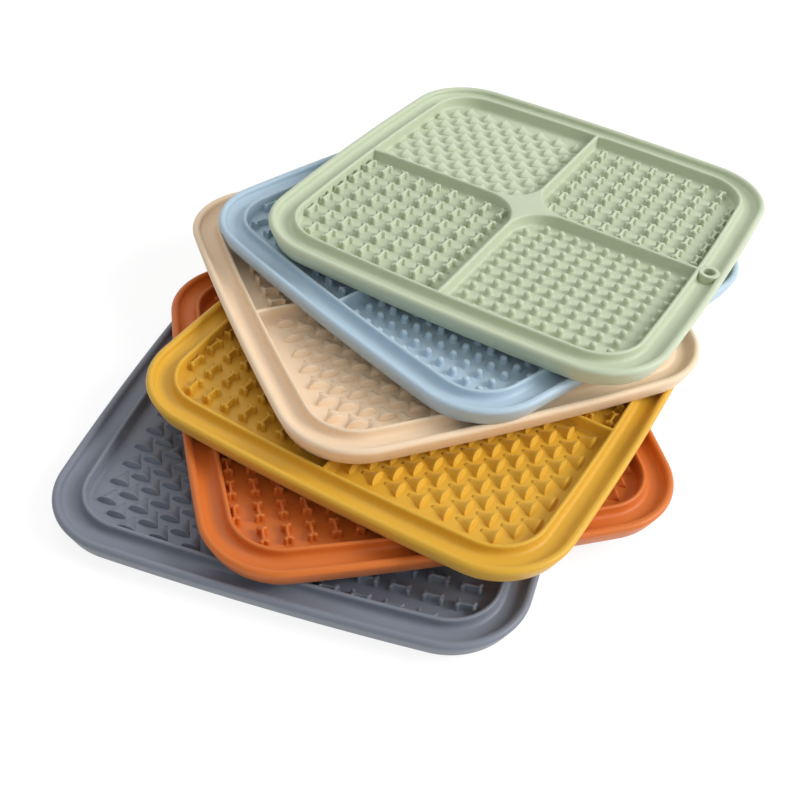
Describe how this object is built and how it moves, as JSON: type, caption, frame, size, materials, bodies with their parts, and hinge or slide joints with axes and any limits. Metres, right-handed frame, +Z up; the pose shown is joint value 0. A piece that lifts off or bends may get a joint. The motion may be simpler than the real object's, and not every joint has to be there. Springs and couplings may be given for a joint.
{
  "type": "lick mat set",
  "caption": "Fanned stack of square lick mats, each one moulding with a raised lip, a moat, crossed dividers, fields of bones, drops and dots, and a hang hole; mats lift off the stack.",
  "frame": {"origin": "centre of the lowest mat's underside, on the surface that the stack stands on", "axes": "+Z up, out of the mats' upper faces; +Y towards the back of the fan and +X to its right, as seen from the side where the lowest mat shows most"},
  "size_m": [0.3098, 0.3444, 0.0615],
  "materials": {
    "grey_mat": "satin, slate grey",
    "orange_mat": "satin, terracotta",
    "mustard_mat": "satin, mustard yellow",
    "beige_mat": "satin, beige",
    "blue_mat": "satin, light blue",
    "green_mat": "satin, sage green"
  },
  "bodies": {
    "grey_mat": {"grey_mat": "grey_mat"},
    "orange_mat": {"orange_mat": "orange_mat"},
    "mustard_mat": {"mustard_mat": "mustard_mat"},
    "beige_mat": {"beige_mat": "beige_mat"},
    "blue_mat": {"blue_mat": "blue_mat"},
    "green_mat": {"green_mat": "green_mat"}
  },
  "joints": [
    {"name": "orange_lift", "type": "slide", "parent": "grey_mat", "child": "orange_mat", "axis": [0, 0, 1], "range_m": [0, 0.08]},
    {"name": "mustard_lift", "type": "slide", "parent": "orange_mat", "child": "mustard_mat", "axis": [0, 0, 1], "range_m": [0, 0.08]},
    {"name": "beige_lift", "type": "slide", "parent": "mustard_mat", "child": "beige_mat", "axis": [0, 0, 1], "range_m": [0, 0.08]},
    {"name": "blue_lift", "type": "slide", "parent": "beige_mat", "child": "blue_mat", "axis": [0, 0, 1], "range_m": [0, 0.08]},
    {"name": "green_lift", "type": "slide", "parent": "blue_mat", "child": "green_mat", "axis": [0, 0, 1], "range_m": [0, 0.08]}
  ]
}
